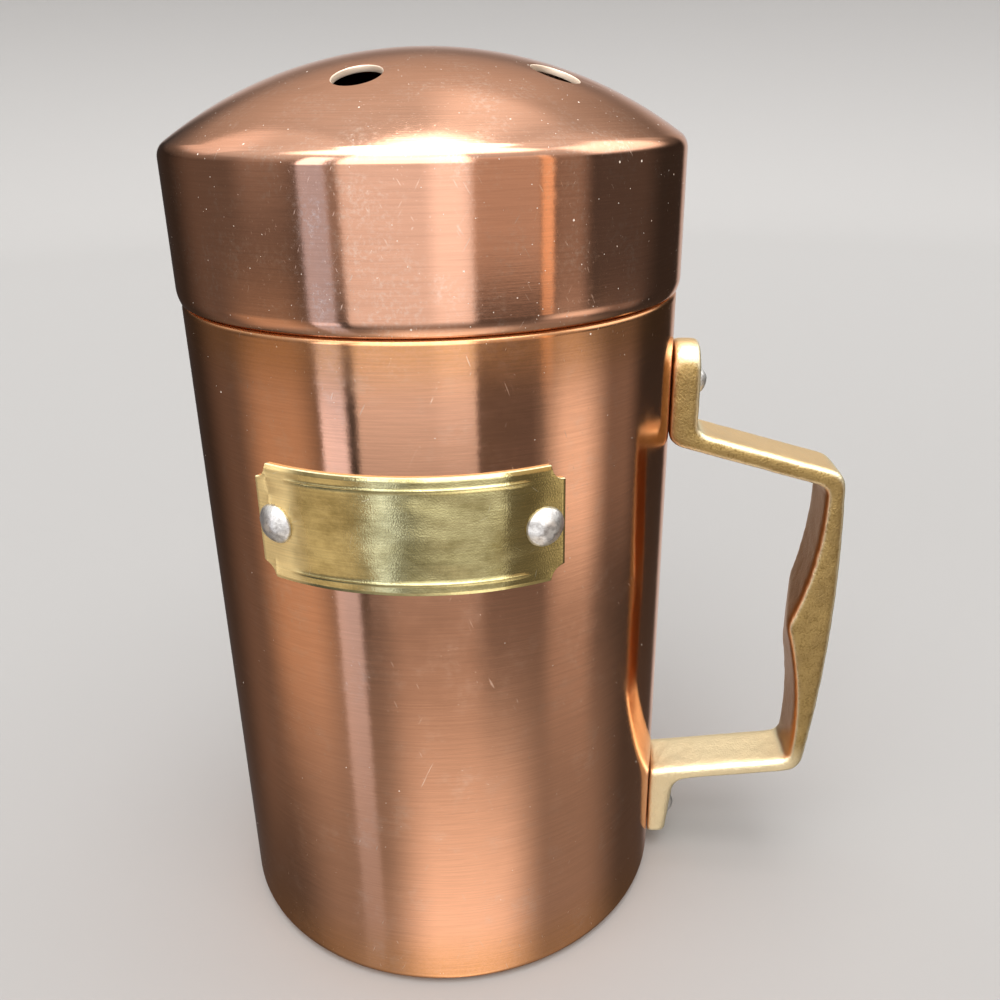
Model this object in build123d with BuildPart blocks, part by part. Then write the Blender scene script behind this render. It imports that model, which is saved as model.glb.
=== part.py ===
# Parmesan shaker: a drawn copper can with a domed slip-on cap, a cast brass handle and a brass nameplate.
# Millimetres, +Z up. The origin is the centre of the base.
# The handle points to +X and the nameplate faces -Y. Azimuths are measured from -Y towards +X.
import os
from math import acos, atan2, cos, degrees, hypot, radians, sin, sqrt, tan

from build123d import *

# Can: copper sheet drawn to a cup, with a necked-in mouth
body_radius = 38.0
body_height = 107.5  # base to the shoulder under the cap
body_sheet = 0.9
base_bend = 1.1  # inside radius of the bend between base and wall
shoulder_bend = 0.3  # inside radius of the bend at the shoulder
neck_step = 0.9  # how far the neck stands inside the wall
neck_height = 15.0

# Cap: copper sheet drawn to a dome, with a lower edge tucked in to grip the neck
cap_sheet = 0.9
cap_clearance = 0.15  # radial, between the tucked edge and the neck
cap_seat_gap = 0.25  # between the tucked edge and the shoulder
cap_corner_bend = 1.7  # inside radius of the bend between skirt and dome
tuck_bend = 3.8  # inside radius of the tucked edge
tuck_angle = 25.0
skirt_height = 21.1  # lower edge to the height where skirt and dome would meet without the bend
dome_rise = 12.7
hole_count = 5
hole_diameter = 6.6
hole_ring_radius = 22.7
hole_first_azimuth = -14.0
hole_edge_radius = 0.3  # rolled-over edge that the punch leaves

# Nameplate: stamped brass sheet, bent round the can
plate_width = 45.0  # along the curve
plate_height = 17.0
plate_sheet = 0.6
plate_drop = 26.4  # shoulder to the plate's centre line
notch_radius = 2.2
rule_inset = 1.7  # plate's edge to the raised rule's centre line
rule_radius = 0.3
rule_end_inset = 5.9  # plate's end to the rule's end, along the curve

# Rivets: soft metal, with a wide foot inside the can and the other end peened outside
rivet_fit = 0.05  # radial, between shank and hole
seat_gap = 0.03  # between faces that the rivets hold together
plate_rivet_diameter = 2.4
plate_rivet_inset = 3.2  # plate's end to the rivet's axis, along the curve
plate_rivet_head_diameter = 5.8
plate_rivet_crown_diameter = 2.6  # flat left by the hammer
plate_rivet_head_height = 1.5
plate_rivet_foot_diameter = 5.0
handle_rivet_diameter = 3.2
handle_rivet_head_diameter = 4.4
handle_rivet_crown_diameter = 3.0
handle_rivet_head_height = 1.4
handle_rivet_foot_diameter = 7.0
rivet_foot_height = 0.9

# Handle: cast brass strap with a lug at each end, sized for two fingers
strap_width = 10.6
strap_edge_radius = 1.1
lug_thickness = 4.5
lug_tip_thickness = 3.3  # at the lower lug's tip
upper_lug_margin = 8.5  # lug's tip to the shoulder
lower_lug_margin = 3.1  # lug's tip to the base
upper_rivet_inset = 6.9  # lug's tip to the rivet's axis
lower_rivet_inset = 4.0
upper_arm_drop = 14.4  # lug's tip to the arm's top face at the lug
upper_arm_slope = 15.6
upper_arm_thickness = 3.3
lower_arm_lift = 12.75  # lug's tip to the arm's lower face at the lug
lower_arm_slope = 7.35
lower_arm_thickness = 3.0
grip_reach = 28.8  # can's wall to the grip's upper outer corner
grip_bow = 1.6  # how far the grip's back bulges between its corners
grip_lean = 1.4  # how much nearer the can the grip's lower corner is
grip_top_thickness = 3.1
grip_bottom_thickness = 2.6
ridge_drop = 25.9  # upper inner corner to the ridge between the fingers
ridge_height = 3.5  # how far the ridge stands out of the grip's inner face
hollow_depth = 1.4  # how far a finger hollow sinks below the straight line to the ridge
ridge_radius = 1.8
ridge_bevel = 2.2  # how much lower the ridge is on the side away from the nameplate
outer_corner_radius = 3.4
inner_corner_radius = 1.8
root_radius = 2.0  # upper arm into its lug
lower_root_radius = 2.8
heel_radius = 3.0  # underside of the upper arm into the saddle
toe_corner_radius = 2.0  # corners of the lower lug's square tip
trim_allowance = 1.0  # spare length of each lug before its tip is shaped

# Values worked out from the sizes above
neck_radius = body_radius - neck_step
neck_top = body_height + neck_height
base_outer_bend = base_bend + body_sheet
shoulder_outer_bend = shoulder_bend + body_sheet
shoulder_angle = degrees(acos(1 - neck_step / shoulder_outer_bend))
shoulder_start = body_height - shoulder_outer_bend * sin(radians(shoulder_angle))
inner_radius = body_radius - body_sheet
rim_radius = body_sheet / 2  # of the neck's rounded rim

tuck_outer_bend = tuck_bend + cap_sheet
cap_radius = neck_radius + cap_clearance + tuck_outer_bend - tuck_bend * cos(radians(tuck_angle))
cap_bottom = body_height + cap_seat_gap
tuck_start = cap_bottom + tuck_outer_bend * sin(radians(tuck_angle))
cap_top = cap_bottom + skirt_height + dome_rise
dome_radius = (cap_radius**2 + dome_rise**2) / (2 * dome_rise)
dome_centre = cap_top - dome_radius
cap_corner_outer = cap_corner_bend + cap_sheet
corner_reach = cap_radius - cap_corner_outer
corner_centre = dome_centre + sqrt((dome_radius - cap_corner_outer) ** 2 - corner_reach**2)
corner_angle = degrees(atan2(corner_centre - dome_centre, corner_reach))

plate_inner_radius = body_radius + seat_gap
plate_outer_radius = plate_inner_radius + plate_sheet
plate_centre = body_height - plate_drop
plate_half_angle = degrees(plate_width / 2 / plate_outer_radius)
plate_rivet_azimuth = degrees((plate_width / 2 - plate_rivet_inset) / plate_outer_radius)
rule_half_angle = degrees((plate_width / 2 - rule_end_inset) / plate_outer_radius)

lug_face = body_radius + lug_thickness
lug_top = body_height - upper_lug_margin
lug_bottom = lower_lug_margin
upper_rivet_height = lug_top - upper_rivet_inset
lower_rivet_height = lug_bottom + lower_rivet_inset
handle_azimuth = 90.0


def outward_plane(azimuth, radius, height):
    """A plane that faces straight out of the can, at that radius and height."""
    out_x, out_y = sin(radians(azimuth)), -cos(radians(azimuth))
    return Plane(
        origin=(radius * out_x, radius * out_y, height),
        x_dir=(-out_y, out_x, 0),
        z_dir=(out_x, out_y, 0),
    )


def section_plane(azimuth):
    """The upright half-plane through the can's axis: local x is the radius and local y the height."""
    out_x, out_y = sin(radians(azimuth)), -cos(radians(azimuth))
    return Plane(origin=(0, 0, 0), x_dir=(out_x, out_y, 0), z_dir=(out_y, -out_x, 0))


def save(builder, name):
    """Labels a finished piece and writes its file."""
    builder.part.label = name
    export_step(builder.part, f"parts/{name}.step")


os.makedirs("parts", exist_ok=True)

# Can body: one drawn cup, the sheet's thickness all round, with its rivet holes
with BuildPart() as can_body:
    with BuildSketch(Plane.XZ):
        with BuildLine():
            Line((0, 0), (body_radius - base_outer_bend, 0))
            CenterArc((body_radius - base_outer_bend, base_outer_bend), base_outer_bend, -90, 90)
            Line((body_radius, base_outer_bend), (body_radius, shoulder_start))
            shoulder = CenterArc(
                (body_radius - shoulder_outer_bend, shoulder_start), shoulder_outer_bend, 0, shoulder_angle
            )
            Line(shoulder @ 1, (neck_radius, neck_top - rim_radius))
            CenterArc((neck_radius - rim_radius, neck_top - rim_radius), rim_radius, 0, 180)
            inner_shoulder = CenterArc(
                (body_radius - shoulder_outer_bend, shoulder_start), shoulder_bend, 0, shoulder_angle
            )
            inner_run = (inner_shoulder @ 1).X - (neck_radius - body_sheet)
            inner_rise = inner_run / tan(radians(shoulder_angle))
            inner_neck_start = (neck_radius - body_sheet, (inner_shoulder @ 1).Y + inner_rise)
            Line((neck_radius - body_sheet, neck_top - rim_radius), inner_neck_start)
            Line(inner_neck_start, inner_shoulder @ 1)
            Line(inner_shoulder @ 0, (inner_radius, base_outer_bend))
            CenterArc((body_radius - base_outer_bend, base_outer_bend), base_bend, 0, -90)
            Line((body_radius - base_outer_bend, body_sheet), (0, body_sheet))
            Line((0, body_sheet), (0, 0))
        make_face()
    revolve(axis=Axis.Z)
    for azimuth in (-plate_rivet_azimuth, plate_rivet_azimuth):
        with BuildSketch(outward_plane(azimuth, body_radius, plate_centre)):
            Circle(plate_rivet_diameter / 2 + rivet_fit)
        extrude(amount=2 * body_sheet, both=True, mode=Mode.SUBTRACT)
    for height in (upper_rivet_height, lower_rivet_height):
        with BuildSketch(outward_plane(handle_azimuth, body_radius, height)):
            Circle(handle_rivet_diameter / 2 + rivet_fit)
        extrude(amount=2 * body_sheet, both=True, mode=Mode.SUBTRACT)
save(can_body, "can_body")

# Cap: skirt, bend and dome in one sheet, with punched holes in a ring
with BuildPart() as shaker_cap:
    with BuildSketch(Plane.XZ):
        with BuildLine():
            tuck_centre = (cap_radius - tuck_outer_bend, tuck_start)
            bend_centre = (corner_reach, corner_centre)
            tuck_outside = CenterArc(tuck_centre, tuck_outer_bend, 0, -tuck_angle)
            tuck_inside = CenterArc(tuck_centre, tuck_bend, 0, -tuck_angle)
            Line(tuck_outside @ 1, tuck_inside @ 1)
            Line(tuck_outside @ 0, (cap_radius, corner_centre))
            Line(tuck_inside @ 0, (cap_radius - cap_sheet, corner_centre))
            CenterArc(bend_centre, cap_corner_outer, 0, corner_angle)
            CenterArc(bend_centre, cap_corner_bend, 0, corner_angle)
            CenterArc((0, dome_centre), dome_radius, corner_angle, 90 - corner_angle)
            CenterArc((0, dome_centre), dome_radius - cap_sheet, corner_angle, 90 - corner_angle)
            Line((0, cap_top), (0, cap_top - cap_sheet))
        make_face()
    revolve(axis=Axis.Z)
    with BuildSketch(Plane.XY.offset(cap_top)):
        with PolarLocations(hole_ring_radius, hole_count, start_angle=hole_first_azimuth - 90):
            Circle(hole_diameter / 2)
    extrude(amount=-dome_rise, mode=Mode.SUBTRACT)
    bores = shaker_cap.faces().filter_by(GeomType.CYLINDER)
    walls = bores.filter_by(lambda face: face.radius < hole_diameter)
    rims = [wall.edges().filter_by(GeomType.LINE, reverse=True).sort_by(Axis.Z)[-1] for wall in walls]
    fillet(rims, hole_edge_radius)
save(shaker_cap, "shaker_cap")

# Nameplate: bent sheet with scooped corners and a raised rule along each long edge
with BuildPart() as nameplate:
    with BuildSketch(section_plane(-plate_half_angle)):
        with Locations(((plate_inner_radius + plate_outer_radius) / 2, plate_centre)):
            Rectangle(plate_sheet, plate_height)
    revolve(axis=Axis.Z, revolution_arc=2 * plate_half_angle)
    rule_heights = [plate_centre + side * (plate_height / 2 - rule_inset) for side in (-1, 1)]
    for height in rule_heights:
        with BuildSketch(section_plane(-rule_half_angle)):
            with BuildLine():
                CenterArc((plate_outer_radius, height), rule_radius, -90, 180)
                Line((plate_outer_radius, height + rule_radius), (plate_outer_radius, height - rule_radius))
            make_face()
        revolve(axis=Axis.Z, revolution_arc=2 * rule_half_angle)
    for azimuth in (-plate_half_angle, plate_half_angle):
        for height in (plate_centre - plate_height / 2, plate_centre + plate_height / 2):
            with BuildSketch(outward_plane(azimuth, plate_outer_radius, height)):
                Circle(notch_radius)
            extrude(amount=2 * plate_sheet, both=True, mode=Mode.SUBTRACT)
    for azimuth in (-plate_rivet_azimuth, plate_rivet_azimuth):
        with BuildSketch(outward_plane(azimuth, plate_outer_radius, plate_centre)):
            Circle(plate_rivet_diameter / 2 + rivet_fit)
        extrude(amount=2 * plate_sheet, both=True, mode=Mode.SUBTRACT)
save(nameplate, "nameplate")

# Handle: one casting, drawn from the side, with lugs hollowed to sit on the can
saddle_back = sqrt(body_radius**2 - (strap_width / 2) ** 2)
upper_fall = tan(radians(upper_arm_slope))
lower_climb = tan(radians(lower_arm_slope))
upper_root = (lug_face, lug_top - upper_arm_drop)
grip_top = (body_radius + grip_reach, upper_root[1] - (body_radius + grip_reach - lug_face) * upper_fall)
lower_root = (lug_face, lug_bottom + lower_arm_lift)
grip_bottom_x = grip_top[0] - grip_lean
grip_bottom = (grip_bottom_x, lower_root[1] + (grip_bottom_x - lug_face) * lower_climb)
back_middle = ((grip_top[0] + grip_bottom[0]) / 2 + grip_bow, (grip_top[1] + grip_bottom[1]) / 2)
underside_drop = upper_arm_thickness / cos(radians(upper_arm_slope))
topside_lift = lower_arm_thickness / cos(radians(lower_arm_slope))
inner_top_x = grip_top[0] - grip_top_thickness
inner_top = (inner_top_x, upper_root[1] - (inner_top_x - lug_face) * upper_fall - underside_drop)
inner_bottom_x = grip_bottom[0] - grip_bottom_thickness
inner_bottom = (inner_bottom_x, lower_root[1] + (inner_bottom_x - lug_face) * lower_climb + topside_lift)
heel = (saddle_back, upper_root[1] + (lug_face - saddle_back) * upper_fall - underside_drop)
toe = (saddle_back, lower_root[1] - (lug_face - saddle_back) * lower_climb + topside_lift)
ridge_share = ridge_drop / (inner_top[1] - inner_bottom[1])
ridge_base = inner_top[0] + (inner_bottom[0] - inner_top[0]) * ridge_share
ridge = (ridge_base - ridge_height, inner_top[1] - ridge_drop)
tip_centre = lug_top - strap_width / 2  # of the upper lug's half-round tip
blank_top = lug_top + trim_allowance
lug_taper = (lug_thickness - lug_tip_thickness) / lower_arm_lift
blank_tip = (body_radius + lug_tip_thickness - trim_allowance * lug_taper, lug_bottom - trim_allowance)


def hollow_middle(start, end):
    """The deepest point of a finger hollow between two points of the grip's inner edge."""
    run, rise = end[0] - start[0], end[1] - start[1]
    length = hypot(run, rise)
    side = 1 if rise < 0 else -1
    return (
        (start[0] + end[0]) / 2 - side * hollow_depth * rise / length,
        (start[1] + end[1]) / 2 + side * hollow_depth * run / length,
    )


with BuildPart() as handle:
    with BuildSketch(Plane.XZ) as side_view:
        with BuildLine():
            Polyline((saddle_back, blank_top), (lug_face, blank_top), upper_root, grip_top)
            ThreePointArc(grip_top, back_middle, grip_bottom)
            Polyline(
                grip_bottom,
                lower_root,
                blank_tip,
                (saddle_back, blank_tip[1]),
                toe,
                inner_bottom,
            )
            ThreePointArc(inner_bottom, hollow_middle(ridge, inner_bottom), ridge)
            ThreePointArc(ridge, hollow_middle(inner_top, ridge), inner_top)
            Polyline(inner_top, heel, (saddle_back, blank_top))
        make_face()
        corner_radii = {
            upper_root: root_radius,
            lower_root: lower_root_radius,
            grip_top: outer_corner_radius,
            grip_bottom: outer_corner_radius,
            inner_top: inner_corner_radius,
            inner_bottom: inner_corner_radius,
            ridge: ridge_radius,
            heel: heel_radius,
        }
        for corner, radius in corner_radii.items():
            fillet(side_view.vertices().sort_by_distance(corner)[0], radius)
    extrude(amount=strap_width, both=True)
    with BuildSketch(Plane.YZ) as end_view:
        with Locations((0, tip_centre)):
            Circle(strap_width / 2)
        with Locations((0, (tip_centre + lug_bottom) / 2)):
            Rectangle(strap_width, tip_centre - lug_bottom)
        fillet(end_view.vertices().group_by(Axis.Y)[0], toe_corner_radius)
    extrude(amount=2 * (body_radius + grip_reach), mode=Mode.INTERSECT)
    rims = (
        handle.faces()
        .filter_by(Axis.Y)
        .edges()
        .filter_by(Axis.X, reverse=True)
        .filter_by(lambda edge: edge.center().X > saddle_back + seat_gap)
    )
    fillet(rims, strap_edge_radius)
    with BuildSketch(Plane.XY):
        Circle(body_radius + seat_gap)
    extrude(amount=body_height, mode=Mode.SUBTRACT)
    with BuildSketch(Plane.XY.offset(inner_bottom[1])):
        with BuildLine():
            Polyline(
                (ridge[0], strap_edge_radius - strap_width / 2),
                (ridge[0], strap_width / 2),
                (ridge[0] + ridge_bevel, strap_width / 2),
                close=True,
            )
        make_face()
    extrude(amount=inner_top[1] - inner_bottom[1], mode=Mode.SUBTRACT)
    for height in (upper_rivet_height, lower_rivet_height):
        with BuildSketch(outward_plane(handle_azimuth, body_radius, height)):
            Circle(handle_rivet_diameter / 2 + rivet_fit)
        extrude(amount=2 * lug_thickness, both=True, mode=Mode.SUBTRACT)
save(handle, "handle")


def make_rivet(
    name,
    shank_seat,
    head_seat,
    shank_diameter,
    foot_diameter,
    head_diameter,
    crown_diameter,
    head_height,
):
    """A rivet from the can's inside to the plane that its peened head sits on."""
    head_section = Plane(
        origin=head_seat.origin,
        x_dir=head_seat.x_dir,
        z_dir=head_seat.x_dir.cross(head_seat.z_dir),
    )
    foot_outer_radius = inner_radius - seat_gap
    shank_length = Vector(shank_seat.origin.X, shank_seat.origin.Y, 0).length - foot_outer_radius
    with BuildPart() as rivet:
        with BuildSketch(shank_seat.offset(-shank_length)):
            Circle(foot_diameter / 2)
        extrude(amount=-rivet_foot_height)
        with BuildSketch(Plane.XY.offset(shank_seat.origin.Z - foot_diameter)):
            Circle(body_radius)
            Circle(foot_outer_radius, mode=Mode.SUBTRACT)
        extrude(amount=2 * foot_diameter, mode=Mode.SUBTRACT)
        with BuildSketch(shank_seat.offset(head_height / 2)):
            Circle(shank_diameter / 2)
        extrude(amount=-shank_length - head_height / 2 - rivet_foot_height / 2)
        with BuildSketch(head_section):
            with BuildLine():
                head_radius = head_diameter / 2
                flank = RadiusArc((head_radius, 0), (crown_diameter / 2, head_height), -head_radius)
                Polyline(flank @ 1, (0, head_height), (0, 0), flank @ 0)
            make_face()
        revolve(axis=Axis(head_seat.origin, head_seat.z_dir))
    save(rivet, name)


# Nameplate rivets: one through each end of the plate
for side, side_name in ((-1, "left"), (1, "right")):
    seat = outward_plane(side * plate_rivet_azimuth, plate_outer_radius + seat_gap, plate_centre)
    make_rivet(
        f"nameplate_rivet_{side_name}",
        seat,
        seat,
        plate_rivet_diameter,
        plate_rivet_foot_diameter,
        plate_rivet_head_diameter,
        plate_rivet_crown_diameter,
        plate_rivet_head_height,
    )

# Handle rivets: one through each lug, the lower one with its head square to the tapered face
lower_seat_radius = body_radius + lug_tip_thickness + lower_rivet_inset * lug_taper + seat_gap
upper_seat = outward_plane(handle_azimuth, lug_face + seat_gap, upper_rivet_height)
lower_seat = outward_plane(handle_azimuth, lower_seat_radius, lower_rivet_height)
lug_seats = {
    "upper": (upper_seat, Vector(1, 0, 0)),
    "lower": (lower_seat, Vector(1, 0, -lug_taper)),
}
for side_name, (seat, face_direction) in lug_seats.items():
    make_rivet(
        f"handle_rivet_{side_name}",
        seat,
        Plane(origin=seat.origin, x_dir=seat.x_dir, z_dir=face_direction),
        handle_rivet_diameter,
        handle_rivet_foot_diameter,
        handle_rivet_head_diameter,
        handle_rivet_crown_diameter,
        handle_rivet_head_height,
    )
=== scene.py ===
# Copper parmesan shaker with a cast brass handle: the looks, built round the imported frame
import math

import bmesh
import bpy
from mathutils import Matrix, Vector, noise


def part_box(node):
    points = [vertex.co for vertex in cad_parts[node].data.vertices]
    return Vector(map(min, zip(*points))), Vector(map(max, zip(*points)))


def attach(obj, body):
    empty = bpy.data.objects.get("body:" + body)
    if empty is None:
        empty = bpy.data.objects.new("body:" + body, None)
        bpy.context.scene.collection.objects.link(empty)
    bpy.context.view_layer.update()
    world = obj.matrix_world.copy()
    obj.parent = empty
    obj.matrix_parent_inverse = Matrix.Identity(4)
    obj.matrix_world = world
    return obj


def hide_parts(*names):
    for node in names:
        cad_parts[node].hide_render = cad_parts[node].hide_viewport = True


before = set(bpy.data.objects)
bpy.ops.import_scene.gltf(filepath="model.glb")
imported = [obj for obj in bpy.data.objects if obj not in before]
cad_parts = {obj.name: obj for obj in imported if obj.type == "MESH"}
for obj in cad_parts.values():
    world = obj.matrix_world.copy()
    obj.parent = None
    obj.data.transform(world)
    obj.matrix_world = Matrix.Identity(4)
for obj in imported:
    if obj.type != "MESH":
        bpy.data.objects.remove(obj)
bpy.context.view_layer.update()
mm = 0.001
turn = 2 * math.pi
weldGap = 0.001 * mm
sectionAxis = (0, -1, 0)  # a section in the XZ plane turns about this from its rim up towards the middle
noiseSpan = (0.3, 0.7)  # most of a noise pattern's values lie in here
print("frame loaded:", ", ".join(sorted(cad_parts)))


# sRGB hex code to linear colour
def linearColour(code):
    parts = [int(code[i:i + 2], 16) / 255 for i in (1, 3, 5)]
    return [c / 12.92 if c <= 0.04045 else ((c + 0.055) / 1.055) ** 2.4 for c in parts] + [1.0]


# One node: a setting is one of its properties, or else the value of an input
def addNode(tree, kind, settings=None, links=None):
    node = tree.nodes.new(kind)
    for key, value in (settings or {}).items():
        if isinstance(key, str) and hasattr(node, key):
            setattr(node, key, value)
        else:
            node.inputs[key].default_value = value
    for key, source in (links or {}).items():
        tree.links.new(source, node.inputs[key])
    return node


def newMaterial(name):
    material = bpy.data.materials.new(name)
    material.use_nodes = True
    return material, material.node_tree, material.node_tree.nodes["Principled BSDF"]


def wire(tree, source, node, socket):
    tree.links.new(source, node.inputs[socket])


def addMesh(bm, name, material):
    mesh = bpy.data.meshes.new(name)
    bm.to_mesh(mesh)
    bm.free()
    mesh.shade_smooth()
    mesh.materials.append(material)
    thing = bpy.data.objects.new(name, mesh)
    bpy.context.scene.collection.objects.link(thing)
    return thing


def finishPiece(bm, name, body, material, nodes):
    piece = addMesh(bm, name, material)
    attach(piece, body)
    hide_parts(*nodes)
    return piece


def roundEdges(piece, name, width, segments, angle):
    bevel = piece.modifiers.new(name, "BEVEL")
    bevel.width = width * mm
    bevel.segments = segments
    bevel.limit_method = "ANGLE"
    bevel.angle_limit = math.radians(angle)


# A section is drawn with runs and arcs, each from the last vertex on
def runTo(bm, start, end):
    last = bm.verts.new(end)
    bm.edges.new((start, last))
    return last


def arcFrom(bm, start, centre, axis, degrees, steps):
    spun = bmesh.ops.spin(
        bm, geom=[start], cent=centre, axis=axis, angle=math.radians(degrees), steps=steps
    )
    return next(v for v in spun["geom_last"] if isinstance(v, bmesh.types.BMVert))


def lathe(bm, steps):
    bmesh.ops.spin(
        bm, geom=bm.verts[:] + bm.edges[:], cent=(0, 0, 0), axis=(0, 0, 1), angle=turn, steps=steps,
        use_merge=True,
    )
    bmesh.ops.remove_doubles(bm, verts=bm.verts, dist=weldGap)
    bmesh.ops.recalc_face_normals(bm, faces=bm.faces)


# Hairline scratches: a few long thin streaks of noise for each way that they run
def hairlines(tree, coords, look, unit):
    softEdge = 0.05
    lines = None
    for turns in look["turns"]:
        stretched = addNode(
            tree, "ShaderNodeMapping",
            {
                "vector_type": "TEXTURE",
                "Rotation": [math.radians(angle) for angle in turns],
                "Scale": (look["length"] * unit, look["gap"] * unit, look["gap"] * unit),
            },
            {"Vector": coords},
        ).outputs[0]
        streak = addNode(
            tree, "ShaderNodeTexNoise", {"Scale": 1.0, "Detail": 0.0}, {"Vector": stretched}
        ).outputs[0]
        streak = addNode(
            tree, "ShaderNodeMapRange",
            {"From Min": look["rarity"], "From Max": look["rarity"] + softEdge}, {"Value": streak},
        ).outputs[0]
        if lines is not None:
            streak = addNode(
                tree, "ShaderNodeMath", {"operation": "MAXIMUM"}, {0: lines, 1: streak}
            ).outputs[0]
        lines = streak
    return lines


# Brushing round the upright axis: highlights stretch across the lines, and lines and grain stand up a little
def brushSurface(tree, shader, look, angle, streaks, grain):
    quarterTurn = 0.25
    shader.inputs["Anisotropic"].default_value = look["anisotropy"]
    shader.inputs["Anisotropic Rotation"].default_value = quarterTurn
    tangent = addNode(tree, "ShaderNodeTangent", {"direction_type": "RADIAL", "axis": "Z"}).outputs[0]
    wire(tree, tangent, shader, "Tangent")
    normal = addNode(tree, "ShaderNodeNewGeometry").outputs["Normal"]
    normal = addNode(
        tree, "ShaderNodeVectorRotate", {"rotation_type": "Z_AXIS"}, {"Vector": normal, "Angle": angle}
    ).outputs[0]
    for height, depth in ((streaks, look["streakDepth"]), (grain, look["grainDepth"])):
        normal = addNode(
            tree, "ShaderNodeBump",
            {"Strength": 1.0, "Distance": depth * mm}, {"Height": height, "Normal": normal},
        ).outputs[0]
    wire(tree, normal, shader, "Normal")


# What the copper of the can and the cap has in common: sizes in millimetres, spans are levels of noise
copperFinish = {
    "tarnishColour": "#dd9f66", "dustColour": "#f2e4d4", "edgeTint": "#f8dccb",
    "streakLength": 9.0, "streakGap": 0.25, "streakDepth": 0.003, "streakShade": 0.87, "strokeShare": 0.25,
    "grainSize": 0.45, "grainDepth": 0.002,
    "speckleSpan": (0.35, 0.65), "leastSpeckle": 0.7, "smudgeSpan": (0.48, 0.8), "filmSpan": (0.48, 0.62),
    "speckCore": 0.6, "scratchTint": 0.3,
    "tarnishRoughness": 0.12, "scratchRoughness": 0.15, "dustRoughness": 0.4,
}


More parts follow.
